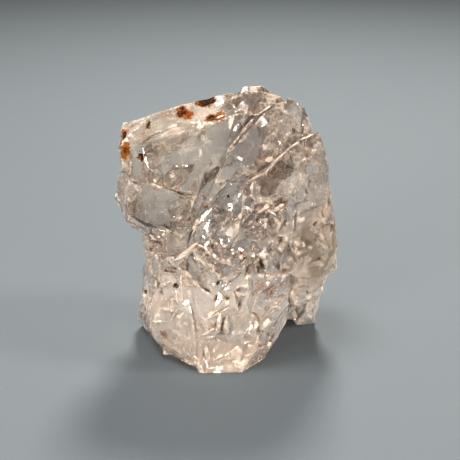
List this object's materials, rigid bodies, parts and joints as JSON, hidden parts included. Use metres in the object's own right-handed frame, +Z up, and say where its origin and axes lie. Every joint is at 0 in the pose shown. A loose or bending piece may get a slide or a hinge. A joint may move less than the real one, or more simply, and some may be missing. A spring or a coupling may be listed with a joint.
{
  "type": "quartz crystal",
  "caption": "Clear, faintly smoky quartz specimen: growth blocks and blades fused in one etched, chipped mass that stands on a flat broken base. For display or study.",
  "frame": {"origin": "on the flat base, under the middle of the box around the crystal", "axes": "+Z up, the specimen's long way; -Y is the way its best face looks, so +Y is its thin way; +X to the right of that face"},
  "size_m": [0.0502, 0.0326, 0.0626],
  "materials": {
    "quartz": "gloss"
  },
  "bodies": {
    "root": {"quartz_crystal": "quartz"}
  },
  "joints": []
}
